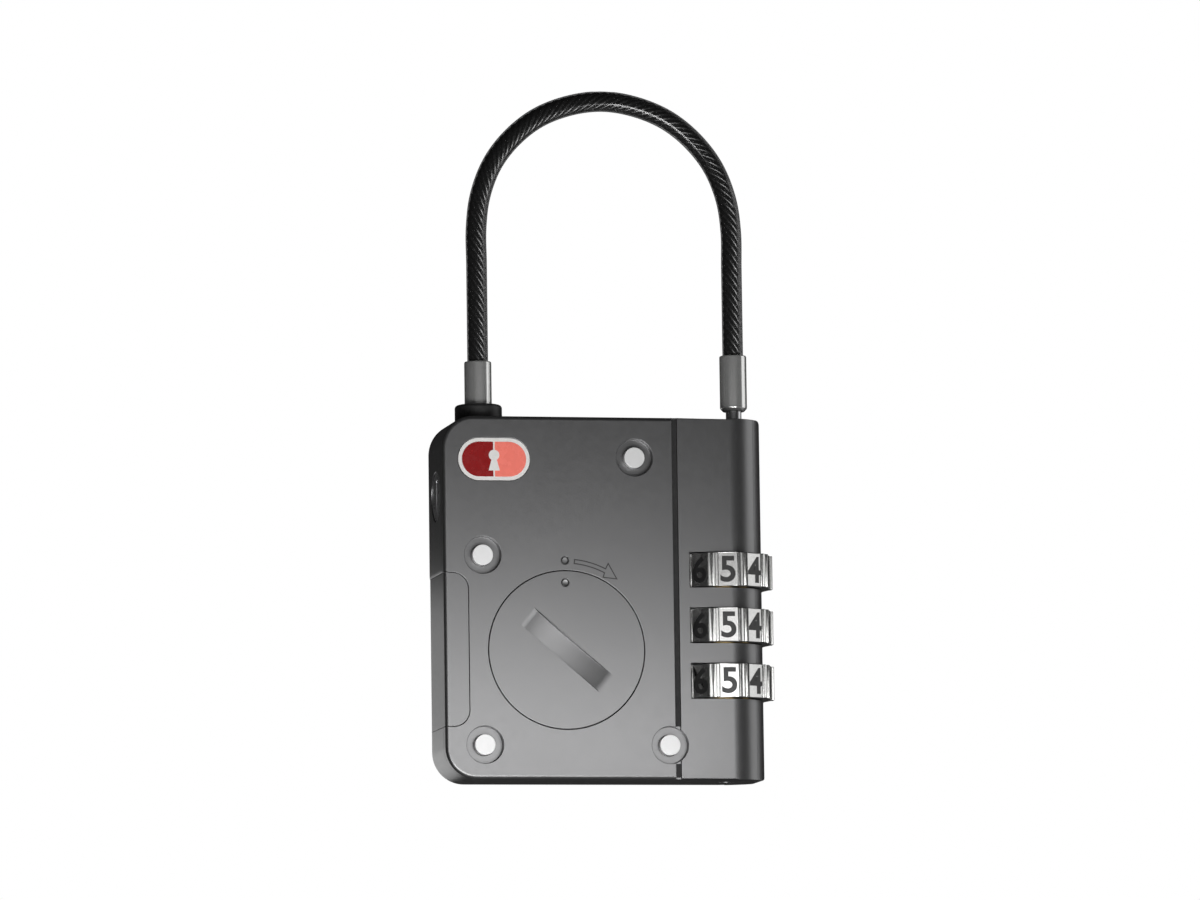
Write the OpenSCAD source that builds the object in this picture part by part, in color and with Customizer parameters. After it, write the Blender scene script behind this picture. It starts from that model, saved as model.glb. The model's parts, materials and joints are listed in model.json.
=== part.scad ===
// Three-dial cable lock for luggage, with a key override and a coin-cell tracker inside.
// The case stands on its flat bottom. +X runs towards the dials, -Y is the front, +Z is up.
// Places across the case are written as a distance from its left face and turned into X by at().

/* [Case] */
// Width from the left face to the tip of the round right end
case_w = 49.3; // [48.8:0.1:50.2]
// Height of the case
case_h = 54; // [53.5:0.1:55]
// Thickness from front to back; the right end is a full round of this diameter
case_t = 11.6; // [11.5:0.1:12.4]
// Thickness of the front cover and of the back wall
skin = 1.6; // [1.5:0.05:1.7]
// Thickness of the left, top and bottom walls
wall = 1.8; // [1.6:0.1:2]
// Radius of the two left corners, seen from the front
corner_r = 4.7; // [3.5:0.1:5]
// Radius of the two right corners, seen from the front
end_corner_r = 1.1; // [0.6:0.1:1.4]
// Distance of the decorative groove from the left face
groove_from_left = 35.15; // [35:0.05:35.3]
// Width of the decorative groove
groove_w = 0.8; // [0.4:0.1:1]
// Depth of the decorative groove
groove_depth = 0.5; // [0.3:0.1:0.8]

/* [Cover pins] */
// Diameter of the four pins that hold the cover
pin_d = 3.1; // [2.8:0.1:3.3]
// Diameter of the counterbore round each pin
counterbore_d = 5.56; // [4.8:0.1:5.8]
// Depth of the counterbore
counterbore_depth = 1.2; // [0.6:0.1:1.2]

/* [Antenna window] */
// How far the plastic window reaches across the front
window_reach = 3.66; // [3:0.1:4]
// Height of the window's lower edge
window_low = 7.8; // [7.5:0.1:9]
// Height of the window's upper edge
window_high = 30.6; // [28:0.1:31]
// Radius of the window's two inner corners
window_r = 2.4; // [1:0.1:2.8]

/* [Dials] */
// Diameter over the ribs of a dial
dial_d = 15; // [14.6:0.1:15.2]
// Thickness of a dial
dial_t = 5; // [4.8:0.1:5.1]
// Distance from one dial to the next
dial_pitch = 8.3; // [8.2:0.1:8.4]
// Height of the lowest dial's centre
dial_low = 14.7; // [14.5:0.1:14.9]
// Number of positions on a dial
dial_stops = 10; // [10]

/* [Cable] */
// Diameter over the clear jacket
cable_d = 3.1; // [2.9:0.05:3.15]
// Wall of the clear jacket
jacket_wall = 0.35; // [0.25:0.05:0.5]
// Diameter of the crimped ferrules
ferrule_d = 4.05; // [3.9:0.05:4.2]
// Length of a ferrule
ferrule_len = 8.45; // [8:0.05:9]
// Diameter of the black collar at the fixed end
collar_d = 7.05; // [6.9:0.05:7.2]
// How far the collar stands above the case
collar_rise = 2.2; // [1.6:0.1:2.6]

/* [Battery] */
// Diameter of the battery cap
cap_d = 23.5; // [23.4:0.05:23.6]
// Distance of the cap's centre from the left face
cap_from_left = 18.4; // [18.2:0.1:18.6]
// Height of the cap's centre
cap_z = 19.2; // [19:0.1:19.4]
// Diameter of the coin cell
cell_d = 20; // [20]
// Thickness of the coin cell
cell_t = 3.2; // [3.2]
// Length of the coin slot
coin_slot_len = 15.6; // [12:0.1:17]
// Width of the coin slot
coin_slot_w = 3.3; // [2:0.1:3.6]
// Depth of the coin slot at its middle
coin_slot_depth = 1.1; // [0.6:0.1:1.2]

/* [Key cylinder] */
// Height of the key cylinder's axis
key_z = 42.4; // [42.2:0.1:42.6]
// Diameter of the key cylinder
key_d = 7.36; // [7.2:0.02:7.4]

/* [Travel] */
// Travel of the code spindle
spindle_travel = 2.9; // [2.9]
// Travel of the latch that the spindle drives
latch_travel = 0.8; // [0.8]
// Travel of the reset button and of the cam sleeves above it
reset_travel = 1.2; // [1.2]
// Travel of the slide that the key drives
key_travel = 1.3; // [1.3]
// Turn of the battery cap between closed and open, in degrees
cap_turn = 40; // [30:1:42]

/* [Hidden] */
$fn = 96;

eps = 0.01;      // overlap that keeps a cut open
far = 40;        // reaches past the case in any direction
seam = 0.05;     // gap round a piece that is let into the case
run = 0.06;      // radial clearance of a turning or sliding fit

// Across the case
dial_from_left = case_w - case_t / 2;
left_x = -(dial_from_left + dial_d / 2) / 2;
function at(from_left) = left_x + from_left;
dial_x = at(dial_from_left);
plug_x = dial_x + 2.1;
anchor_x = plug_x - 39;
cap_x = at(cap_from_left);

// Front to back
front_y = -case_t / 2;
split_y = front_y + skin;          // the cover meets the case here
inner_y = case_t / 2 - skin;       // inside of the back wall

// Pins that hold the cover: distance from the left face, and height
pins = [[29.05, 47.95], [5.9, 33.25], [5.95, 5.1], [33.9, 5.1]];
boss_r = 2.6;
pin_end_y = 2.8;

// Dials and sleeves
dial_z = [for (i = [0:2]) dial_low + (2 - i) * dial_pitch];   // dial 1 is the top one
facet_gap = 0.15;                  // between a dial and its slot
slot_half = dial_t / 2 + facet_gap;
slot_from_left = 37.2;
rib_r = dial_d / 2;
facet_r = 7.32;                    // corners of the dial's ten flats
dial_aim = 6;                      // the digits on show face this many degrees left of square
rib_apart = 4.5;                   // from a corner to each of its two ribs, in degrees
rib_w = 0.44;
rib_h = 0.65;
sleeve_r = 4.3;
sleeve_bore_r = 2.8;
sleeve_low = -4.0;                 // ends of a sleeve, from its dial's centre
sleeve_high = 4.1;
notch_r = 3.8;
tooth_r = 3.9;
tooth_w = 0.8;
tooth_low = 1.0;                   // clutch teeth inside a dial, from its centre
tooth_high = 2.0;
relief_low = tooth_low - reset_travel - 0.3;   // a raised sleeve turns freely in this relief
notch_low = tooth_high - reset_travel + 0.1;
notch_high = 2.5;
gate_t = 0.6;
fin_h = 0.7;
fin_gap = 0.2;
fin_r = 2.4;
fin_w = 1.0;
rod_r = 0.9;

// Heights in the dial stack and the latch chamber
cup_low = 1.95;
stack_floor = wall;
shelf_low = 37.4;
shelf_high = 38.4;
spindle_low = 11.5;
spindle_high = 41.0;
cone_r = 2.2;                      // the spindle's collar, which drives the latch
cone_low = 40.0;
cone_high = 40.7;
latch_z = 47.2;
latch_half = 0.7;
groove_low = 46.2;                 // groove in the plug
groove_high = 48.3;
plug_low = 44.2;
plug_r = 1.45;
neck_r = 0.85;
stem_r = 1.175;

// Fixed and loose ends of the cable
anchor_ferrule_low = case_h + 0.3;
plug_ferrule_low = case_h + 1.65;
crimp_depth = 5.75;
anchor_crimp = anchor_ferrule_low + ferrule_len - crimp_depth;
plug_crimp = plug_ferrule_low + ferrule_len - crimp_depth;

// Badge, and the two index marks of the battery cap
badge_t = 0.4;
badge_x = at(7.75);
badge_z = 47.5;
badge_half_h = 3.15;
badge_reach = 2.25;                // from the middle to the centre of each round end
mark_x = at(18.3);
face_mark_z = 32.5;
cap_mark_z = 29.2;
mark_r = 0.6;
mark_depth = 0.3;

// Battery cap, cell and tracker, from the front to the back
cap_gap = 0.1;                     // round the cap's rim
cap_under_y = -4.85;
seat_y = -4.6;                     // the cap's seal sits here
lug_front_y = split_y + 0.05;
lug_back_y = -3.45;
cap_body_r = 11.15;
lug_r = 11.7;
lug_half = 15;                     // half angle of a bayonet lug
lug_angles = [60, 180, 300];
coin_slot_turn = 40;
coin_r = (pow(coin_slot_len / 2, 2) + pow(coin_slot_depth, 2)) / (2 * coin_slot_depth);
cell_front_y = -3.7;
cell_back_y = cell_front_y + cell_t;
cell_rim_y = cell_back_y - 0.6;
contact_t = 0.2;
contact_reach = 6;
contact_x = cap_x + 10.05;
tray_back = cell_back_y + contact_t + 0.4;
board_back = tray_back + 0.8;
tray_from_left = 9;
tray_low = 7.4;
tray_w = 23.6;
tray_h = 29.6;
screw_xs = [11, 30.6];
screw_z = 35;
screw_r = 0.6;
screw_hole_r = 0.85;
buzzer_x = at(18.4);
buzzer_z = 15.5;

// Key cylinder, cam and release slide
key_block_end = 12;                // from the left face
key_block_half = 4.5;
key_pin_x = at(10.3);
key_pin_z = key_z + 3.45;
key_pin_r = 0.45;
keyway_w = 1.1;
keyway_h = 4.8;
wafer_xs = [2.6, 4.2, 5.8, 7.4];   // from the left face
tail_r = 1.4;
cam_r = 3;
cam_groove_r = 2.2;                // bottom of the drum's helical groove
follower_x = at(14.8);
follower_r = 0.5;
slide_end = 37.6;                  // from the left face
slide_front_y = 3.3;
slide_back_y = 4.1;

// Latch and reset button
latch_tail = 36.25;                // from the left face
latch_tip_x = plug_x - plug_r - 0.28;
latch_w = 2;
ramp_x = dial_x - cone_r - 0.05;
ramp_low = 39.6;
button_r = 1.1;

// Collar and stem of the cable's fixed end
collar_stem_r = 2.95;
collar_flange_r = 3.2;
collar_seat = 0.4;                 // how far the collar is let into the case
anchor_stem_r = 1.2;
anchor_head_low = 49.5;
anchor_head_high = 50.8;

// Middle line of the cable as X and Z, from inside the fixed ferrule to inside the plug's ferrule
cable_points = [
    [-18.9, 57.0], [-18.9, 62.0], [-18.9, 67.0], [-18.9, 72.0], [-18.9, 77.5], [-18.9, 82.9],
    [-18.2, 87.9], [-16.3, 92.7], [-13.2, 96.7], [-9.2, 99.8], [-4.4, 101.7], [0.6, 102.4],
    [5.6, 101.7], [10.4, 99.8], [14.4, 96.7], [17.5, 92.7], [19.4, 87.9], [20.1, 82.9],
    [20.1, 77.5], [20.1, 72.0], [20.1, 67.0], [20.1, 62.5], [20.1, 58.35]
];
cable_route = [for (p = cable_points) p + [plug_x - 20.1, case_h - 54]];
cable_sides = 8;

// ---------- helpers ----------

module box(low, high) {
    translate(low) cube(high - low);
}

// A shape drawn in X and Z, extruded from y0 back to y1
module slab(y0, y1) {
    translate([0, y1, 0]) rotate([90, 0, 0]) linear_extrude(y1 - y0) children();
}

module disc_y(x, z, y0, y1, r) {
    translate([x, y1, z]) rotate([90, 0, 0]) cylinder(h = y1 - y0, r = r);
}

module rod_x(x0, x1, z, r) {
    translate([x0, 0, z]) rotate([0, 90, 0]) cylinder(h = x1 - x0, r = r);
}

module post(x, z0, z1, r) {
    translate([x, 0, z0]) cylinder(h = z1 - z0, r = r);
}

module turned(x, profile) {
    translate([x, 0, 0]) rotate_extrude() polygon(profile);
}

// A sector of a disc in the plane of the face, middle at angle a clockwise from the top
module wedge(a, half, r) {
    polygon([[0, 0], for (t = [-half, 0, half]) r * [sin(a + t), cos(a + t)]]);
}

// Faces that close a row of rings, each with the same number of points
function ring_faces(rings, sides) = concat(
    [[for (k = [0:sides - 1]) sides - 1 - k]],
    [for (i = [0:rings - 2]) for (k = [0:sides - 1])
        [i * sides + k, i * sides + (k + 1) % sides, (i + 1) * sides + (k + 1) % sides, (i + 1) * sides + k]],
    [[for (k = [0:sides - 1]) (rings - 1) * sides + k]]
);

// Coil spring about Z, wound from z0 to z1
module coil(r, wire, z0, z1, turns) {
    steps = turns * 20;
    sides = 6;
    low = z0 + wire / 2;
    rise = z1 - z0 - wire;
    rings = [for (i = [0:steps]) for (k = [0:sides - 1])
        let (t = 360 * i / 20, a = 360 * k / sides, out = r + wire / 2 * cos(a))
        [out * cos(t), out * sin(t), low + rise * i / steps + wire / 2 * sin(a)]];
    polyhedron(rings, [for (f = ring_faces(steps + 1, sides)) [for (j = [len(f) - 1:-1:0]) f[j]]]);
}

// Unit direction of the cable at a point of its route
function cable_way(i) = let (
    a = cable_route[max(i - 1, 0)], b = cable_route[min(i + 1, len(cable_route) - 1)], d = b - a
) d / norm(d);

function cable_ring(i, r) = let (p = cable_route[i], d = cable_way(i)) [
    for (k = [0:cable_sides - 1]) let (a = 360 * (k + 0.5) / cable_sides)
        [p[0] - d[1] * r * cos(a), r * sin(a), p[1] + d[0] * r * cos(a)]
];

module cable_tube(r) {
    n = len(cable_route);
    polyhedron([for (i = [0:n - 1]) each cable_ring(i, r)], ring_faces(n, cable_sides));
}

// ---------- shapes that several pieces share ----------

module case_outline(inset) {
    r = corner_r - inset;
    e = max(end_corner_r - inset, 0.4);
    x0 = left_x + inset;
    x1 = at(case_w) - inset;
    z0 = inset;
    z1 = case_h - inset;
    translate([x0 + r, z0]) square([x1 - x0 - r - e, z1 - z0]);
    translate([x0, z0 + r]) square([r + eps, z1 - z0 - 2 * r]);
    translate([x1 - e - eps, z0 + e]) square([e + eps, z1 - z0 - 2 * e]);
    for (z = [z0 + r, z1 - r]) translate([x0 + r, z]) circle(r);
    for (z = [z0 + e, z1 - e]) translate([x1 - e, z]) circle(e);
}

module case_plan(inset) {
    r = case_t / 2 - inset;
    translate([left_x - far, -r]) square([dial_x - left_x + far, 2 * r]);
    translate([dial_x, 0]) circle(r);
}

module case_form() {
    intersection() {
        slab(-far, far) case_outline(0);
        linear_extrude(case_h) case_plan(0);
    }
}

module window_outline(grow) {
    x1 = at(window_reach) + grow;
    z0 = window_low - grow;
    z1 = window_high + grow;
    r = window_r + grow;
    translate([left_x - 1, z0]) square([x1 - r - left_x + 1, z1 - z0]);
    translate([x1 - r - eps, z0 + r]) square([r + eps, z1 - z0 - 2 * r]);
    for (z = [z0 + r, z1 - r]) translate([x1 - r, z]) circle(r);
}

module badge_outline(grow) {
    half = badge_half_h + grow;
    translate([badge_x, badge_z]) {
        square([2 * badge_reach, 2 * half], center = true);
        for (s = [-1, 1]) translate([s * badge_reach, 0]) circle(half);
    }
}

// Slots that the dials turn in
module dial_slots() {
    for (z = dial_z) {
        box([at(slot_from_left), -far, z - slot_half], [at(case_w) + 1, far, z + slot_half]);
        post(dial_x, z - slot_half, z + slot_half, rib_r + 0.25);
    }
}

module sleeve_bore() {
    post(dial_x, stack_floor, shelf_low, sleeve_r + run);
}

// ---------- case ----------

module case_cavity() {
    intersection() {
        slab(-far, inner_y) case_outline(wall);
        linear_extrude(case_h) case_plan(skin);
        union() {
            box([left_x, -far, 0], [at(33.6), far, case_h]);
            box([left_x, -far, shelf_high], [at(case_w), far, case_h]);
        }
    }
}

module key_block() {
    box([left_x, split_y, key_z - key_block_half],
        [at(key_block_end), inner_y + eps, key_z + key_block_half]);
}

module back_case() {
    color("dimgray") difference() {
        intersection() {
            case_form();
            box([-far, split_y, -1], [far, far, far * 2]);
            union() {
                difference() {
                    box([-far, -far, -1], [far, far, far * 2]);
                    case_cavity();
                }
                for (p = pins) disc_y(at(p[0]), p[1], split_y, inner_y + eps, boss_r);
                for (x = screw_xs) disc_y(at(x), screw_z, board_back, inner_y + eps, 1.5);
                key_block();
            }
        }
        for (p = pins) disc_y(at(p[0]), p[1], split_y - 1, pin_end_y + 0.2, pin_d / 2 + 0.02);
        for (x = screw_xs) disc_y(at(x), screw_z, board_back - 1, inner_y - 0.2, screw_r);
        rod_x(left_x - 1, at(key_block_end) + 1, key_z, key_d / 2 + run);
        disc_y(key_pin_x, key_pin_z, -3.6, 3.6, key_pin_r + 0.02);
        dial_slots();
        sleeve_bore();
        box([at(34.7), -2.2, 9.6], [at(36.6), 2.2, 36.4]);
        post(dial_x, shelf_low - 1, shelf_high + 1, rod_r + 0.08);
        post(dial_x, -1, stack_floor + 1, button_r + run);
        post(plug_x, case_h - wall - 1, case_h + 1, plug_r + 0.1);
        post(anchor_x, case_h - wall - 1, case_h + 1, collar_stem_r + 0.02);
        post(anchor_x, case_h - collar_seat, case_h + 1, collar_d / 2 + 0.03);
        post(anchor_x, case_h - wall - 2, case_h - wall, collar_flange_r + 0.05);
        slab(-far, far) window_outline(seam);
    }
}

module front_cover() {
    color("dimgray") difference() {
        intersection() {
            case_form();
            box([-far, -far, -1], [far, split_y, far * 2]);
        }
        dial_slots();
        sleeve_bore();
        box([at(groove_from_left - groove_w / 2), -far, -1],
            [at(groove_from_left + groove_w / 2), front_y + groove_depth, case_h + 1]);
        for (p = pins) {
            disc_y(at(p[0]), p[1], front_y - 1, front_y + counterbore_depth, counterbore_d / 2);
            disc_y(at(p[0]), p[1], front_y - 1, split_y + 1, pin_d / 2 + 0.02);
        }
        disc_y(cap_x, cap_z, front_y - 1, seat_y, cap_d / 2 + cap_gap);
        disc_y(cap_x, cap_z, front_y - 1, split_y + 1, cap_body_r + 0.15);
        slab(seat_y - eps, split_y + 1) translate([cap_x, cap_z]) intersection() {
            circle(cap_d / 2 + cap_gap);
            for (a = lug_angles) wedge(a + cap_turn, lug_half + 2, cap_d);
        }
        slab(-far, far) window_outline(seam);
        slab(-far, front_y + badge_t) badge_outline(seam);
        disc_y(mark_x, face_mark_z, front_y - 1, front_y + mark_depth, mark_r);
    }
}

module antenna_window() {
    color("gray") difference() {
        intersection() {
            case_form();
            slab(-far, far) window_outline(0);
        }
        box([at(1.5), split_y, 0], [at(case_w), inner_y, case_h]);
    }
}

module badge() {
    color("firebrick") slab(front_y - 0.05, front_y + badge_t) badge_outline(0);
}

module cover_pins() {
    color("silver") for (p = pins) disc_y(at(p[0]), p[1], front_y, pin_end_y, pin_d / 2);
}

// ---------- battery cap and tracker ----------

module battery_cap() {
    color("dimgray") difference() {
        union() {
            disc_y(cap_x, cap_z, front_y, cap_under_y, cap_d / 2);
            disc_y(cap_x, cap_z, cap_under_y - eps, lug_back_y, cap_body_r);
            slab(lug_front_y, lug_back_y) translate([cap_x, cap_z]) intersection() {
                circle(lug_r);
                for (a = lug_angles) wedge(a, lug_half, cap_d);
            }
        }
        disc_y(cap_x, cap_z, cell_front_y - 0.1, 0, cell_d / 2 + 0.3);
        translate([cap_x, 0, cap_z]) rotate([0, coin_slot_turn, 0])
            translate([0, front_y + coin_slot_depth - coin_r, -coin_slot_w / 2])
                cylinder(h = coin_slot_w, r = coin_r);
        disc_y(mark_x, cap_mark_z, front_y - 1, front_y + mark_depth, mark_r);
    }
}

module cap_seal() {
    color("black") difference() {
        disc_y(cap_x, cap_z, cap_under_y + 0.03, seat_y, cap_d / 2 + 0.05);
        disc_y(cap_x, cap_z, cap_under_y - 1, seat_y + 1, cap_body_r + 0.1);
    }
}

module coin_cell() {
    color("silver") {
        disc_y(cap_x, cap_z, cell_front_y + 0.05, cell_rim_y, cell_d / 2);
        disc_y(cap_x, cap_z, cell_rim_y - eps, cell_back_y, cell_d / 2 - 1.2);
    }
}

module cell_contact_minus() {
    color("gold") for (a = [0, 90]) translate([cap_x, 0, cap_z]) rotate([0, a, 0])
        box([-contact_reach, cell_back_y, -1], [contact_reach, cell_back_y + contact_t, 1]);
}

module cell_contact_plus() {
    color("gold") {
        box([contact_x, -3.2, cap_z - 2], [contact_x + 0.25, cell_back_y + contact_t, cap_z + 2]);
        box([contact_x, cell_back_y, cap_z - 2], [contact_x + 1.15, cell_back_y + contact_t, cap_z + 2]);
    }
}

module tray_outline(inset) {
    translate([at(tray_from_left) + inset, tray_low + inset])
        square([tray_w - 2 * inset, tray_h - 2 * inset]);
}

module tracker_tray() {
    floor_y = cell_back_y + contact_t;
    color("dimgray") difference() {
        union() {
            slab(floor_y, tray_back) tray_outline(0);
            disc_y(cap_x, cap_z, lug_back_y + 0.15, tray_back, 11.6);
        }
        disc_y(cap_x, cap_z, -far, floor_y, cell_d / 2 + 0.15);
        box([cap_x + 9, -far, cap_z - 2.2], [cap_x + 11.3, floor_y, cap_z + 2.2]);
        for (x = screw_xs) disc_y(at(x), screw_z, -far, far, screw_hole_r);
    }
}

module tracker_board() {
    color("darkgreen") difference() {
        slab(tray_back, board_back) tray_outline(0.3);
        for (x = screw_xs) disc_y(at(x), screw_z, -far, far, screw_hole_r);
    }
}

module radio_shield() {
    color("silver") difference() {
        box([at(19), board_back, 24], [at(29), board_back + 1.6, 33]);
        box([at(19.2), board_back - 1, 24.2], [at(28.8), board_back + 1.4, 32.8]);
    }
}

module piezo_buzzer() {
    color("goldenrod") {
        disc_y(buzzer_x, buzzer_z, board_back, board_back + 1.8, 5.5);
        disc_y(buzzer_x, buzzer_z, board_back + 1.8 - eps, board_back + 2.1, 3.8);
    }
}

module antenna_strip() {
    color("orange") {
        box([at(1.55), -3.4, 9.4], [at(1.75), 3.4, 29]);
        box([at(1.55), tray_back, 18], [at(9.2), tray_back + 0.2, 21]);
    }
}

module tracker_screws() {
    color("silver") for (x = screw_xs) {
        disc_y(at(x), screw_z, tray_back - 1.2, tray_back - 0.4, 1.4);
        disc_y(at(x), screw_z, tray_back - 0.4 - eps, inner_y - 0.4, screw_r);
    }
}

// ---------- dials, sleeves and spindle ----------

module dial(n) {
    color("silver") translate([dial_x, 0, dial_z[n]]) {
        difference() {
            union() {
                translate([0, 0, -dial_t / 2]) rotate(-dial_aim)
                    cylinder(h = dial_t, r = facet_r, $fn = dial_stops);
                for (i = [0:dial_stops - 1]) for (s = [-1, 1])
                    rotate(i * 360 / dial_stops + s * rib_apart - dial_aim)
                        translate([rib_r - rib_h, -rib_w / 2, -dial_t / 2])
                            cube([rib_h - 0.02, rib_w, dial_t]);
            }
            translate([0, 0, -dial_t]) cylinder(h = 2 * dial_t, r = sleeve_r + run);
        }
        for (i = [0:dial_stops - 1]) rotate(i * 360 / dial_stops)
            translate([tooth_r, -tooth_w / 2, tooth_low]) cube([0.9, tooth_w, tooth_high - tooth_low]);
    }
}

module cam_sleeve(n) {
    color("goldenrod") translate([dial_x, 0, dial_z[n]]) difference() {
        translate([0, 0, sleeve_low]) cylinder(h = sleeve_high - sleeve_low, r = sleeve_r);
        translate([0, 0, sleeve_low - 1])
            cylinder(h = -gate_t / 2 - sleeve_low + 1, r = sleeve_bore_r);
        translate([0, 0, gate_t / 2]) cylinder(h = far, r = sleeve_bore_r);
        translate([0, 0, -far / 2]) cylinder(h = far, r = rod_r + 0.25);
        translate([0, -fin_w / 2 - fin_gap, -1]) cube([fin_r + 0.15, fin_w + 2 * fin_gap, 2]);
        difference() {
            translate([0, 0, relief_low]) cylinder(h = notch_low - relief_low, r = sleeve_r + 1);
            translate([0, 0, relief_low - 1]) cylinder(h = 4, r = notch_r);
        }
        for (i = [0:dial_stops - 1]) rotate(i * 360 / dial_stops)
            translate([notch_r, -0.5, notch_low - eps]) cube([1, 1, notch_high - notch_low]);
    }
}

module dial_detent() {
    color("silver") {
        box([at(34.75), -2, 10], [at(35), 2, 36]);
        for (z = dial_z) translate([0, rib_r * sin(dial_aim), 0]) intersection() {
            post(at(35.2), z - 1.2, z + 1.2, 0.6);
            box([at(34.9), -1, z - 2], [at(37), 1, z + 2]);
        }
    }
}

module spindle() {
    color("silver") {
        post(dial_x, spindle_low, spindle_high, rod_r);
        post(dial_x, cone_low, cone_high, cone_r);
        for (z = dial_z)
            box([dial_x, -fin_w / 2, z - gate_t / 2 - fin_gap - fin_h],
                [dial_x + fin_r, fin_w / 2, z - gate_t / 2 - fin_gap]);
    }
}

module spindle_spring() {
    color("silver") translate([dial_x, 0, 0]) coil(1.13, 0.3, shelf_high, cone_low, 3);
}

module clutch_spring() {
    color("silver") translate([dial_x, 0, 0])
        coil(3.4, 0.5, dial_z[0] + sleeve_high, shelf_low, 2.5);
}

module reset_button() {
    cup_r = sleeve_r - 0.02;
    cup_high = dial_z[2] + sleeve_low - 0.15;
    color("silver") turned(dial_x, [
        [0, 0.35], [button_r - 0.15, 0.35], [button_r, 0.5], [button_r, cup_low], [cup_r, cup_low],
        [cup_r, cup_high], [3.3, cup_high], [3.3, cup_low + 1], [0, cup_low + 1]
    ]);
}

// ---------- latch and key override ----------

module latch() {
    color("lightsteelblue") {
        box([at(latch_tail), -latch_w / 2, latch_z - latch_half],
            [latch_tip_x, latch_w / 2, latch_z + latch_half]);
        slab(-latch_w / 2, latch_w / 2) polygon([
            [at(39), ramp_low], [ramp_x, ramp_low], [ramp_x, cone_low],
            [ramp_x - latch_travel, cone_low + spindle_travel],
            [ramp_x - latch_travel, latch_z], [at(39), latch_z]
        ]);
    }
}

module latch_spring() {
    color("silver") translate([at(34.98), 0, latch_z]) rotate([0, 90, 0]) coil(0.5, 0.22, 0, 1.25, 3);
}

module release_slide() {
    color("lightsteelblue") {
        box([at(13.6), slide_front_y, key_z - 2], [at(slide_end), slide_back_y, key_z + 2]);
        box([at(slide_end - 3.4), slide_front_y, key_z - 2], [at(slide_end), slide_back_y, latch_z + 2]);
        difference() {
            box([at(slide_end - 3.4), -1.9, latch_z - 2], [at(slide_end), slide_front_y + eps, latch_z + 2]);
            box([at(34.95), -latch_w / 2 - run, latch_z - latch_half - run],
                [at(slide_end) + 1, latch_w / 2 + run, latch_z + latch_half + run]);
        }
        disc_y(follower_x, key_z, 2.35, slide_front_y + eps, follower_r);
    }
}

module key_cylinder() {
    color("silver") difference() {
        union() {
            rod_x(at(0.15), at(12.2), key_z, key_d / 2);
            rod_x(at(12.2) - eps, at(16.5), key_z, tail_r);
        }
        box([left_x - 1, -keyway_w / 2, key_z - keyway_h / 2], [at(10), keyway_w / 2, key_z + keyway_h / 2]);
        for (x = wafer_xs)
            box([at(x) - 0.4, -1.65, key_z - 3.15], [at(x) + 0.4, 1.65, key_z + 3.15]);
        difference() {
            rod_x(at(9.75), at(10.85), key_z, key_d);
            rod_x(at(9), at(12), key_z, 2.9);
        }
    }
}

module key_wafers() {
    color("gold") for (x = wafer_xs) difference() {
        box([at(x) - 0.35, -1.6, key_z - 3.1], [at(x) + 0.35, 1.6, key_z + 3.1]);
        box([at(x) - 1, -0.7, key_z - 1.9], [at(x) + 1, 0.7, key_z + 1.9]);
    }
}

// The follower on the slide rides in this drum's helical groove
module key_cam() {
    step = 6;
    color("silver") difference() {
        rod_x(at(12.35), at(15.95), key_z, cam_r);
        rod_x(at(12), at(17), key_z, tail_r);
        for (t = [0:step:90]) translate([follower_x - key_travel * t / 90, 0, key_z])
            rotate([-t - 90, 0, 0]) translate([0, 0, cam_groove_r]) cylinder(h = 2, r = follower_r + 0.12);
    }
}

module cam_clip() {
    color("silver") difference() {
        rod_x(at(15.98), at(16.4), key_z, 2.3);
        rod_x(at(15), at(17), key_z, tail_r);
        box([at(15), -0.7, key_z - 3], [at(17), 0.7, key_z]);
    }
}

module cylinder_pin() {
    color("silver") disc_y(key_pin_x, key_pin_z, -3.5, 3.5, key_pin_r);
}

// ---------- cable and its ends ----------

module cable_collar() {
    top = case_h + collar_rise;
    low = case_h - wall - 1.2;
    r = collar_d / 2;
    color("black") turned(anchor_x, [
        [anchor_stem_r + 0.1, low], [collar_flange_r, low], [collar_flange_r, case_h - wall],
        [collar_stem_r, case_h - wall], [collar_stem_r, case_h - collar_seat], [r, case_h - collar_seat],
        [r, top - 0.3], [r - 0.3, top], [ferrule_d / 2 + 0.1, top],
        [ferrule_d / 2 + 0.1, anchor_ferrule_low], [anchor_stem_r + 0.1, anchor_ferrule_low]
    ]);
}

module anchor_pin() {
    color("silver") {
        post(anchor_x, anchor_head_low, anchor_head_high, 2.2);
        post(anchor_x, anchor_head_high - eps, anchor_crimp - 0.5, anchor_stem_r);
    }
}

module ferrule(x, low, stem) {
    r = ferrule_d / 2;
    bore = cable_d / 2 + 0.03;
    crimp = low + ferrule_len - crimp_depth;
    high = low + ferrule_len;
    turned(x, [
        [stem, low], [r - 0.45, low], [r, low + 0.5], [r, high - 0.12], [r - 0.12, high],
        [bore, high], [bore, crimp], [stem, crimp]
    ]);
}

module anchor_ferrule() {
    color("silver") ferrule(anchor_x, anchor_ferrule_low, anchor_stem_r);
}

module plug_ferrule() {
    color("silver") ferrule(plug_x, plug_ferrule_low, stem_r);
}

module plug_pin() {
    color("silver") turned(plug_x, [
        [0, plug_low], [0.7, plug_low], [plug_r, plug_low + 0.9], [plug_r, groove_low],
        [neck_r, groove_low], [neck_r, groove_high], [plug_r, groove_high], [plug_r, case_h - 0.4],
        [stem_r, case_h - 0.1], [stem_r, plug_crimp - 0.5], [0, plug_crimp - 0.5]
    ]);
}

module cable_core() {
    color("dimgray") cable_tube(cable_d / 2 - jacket_wall - 0.03);
}

module cable_jacket() {
    color("darkslategray") difference() {
        cable_tube(cable_d / 2);
        cable_tube(cable_d / 2 - jacket_wall);
    }
}

// ---------- one line for each node ----------

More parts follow.
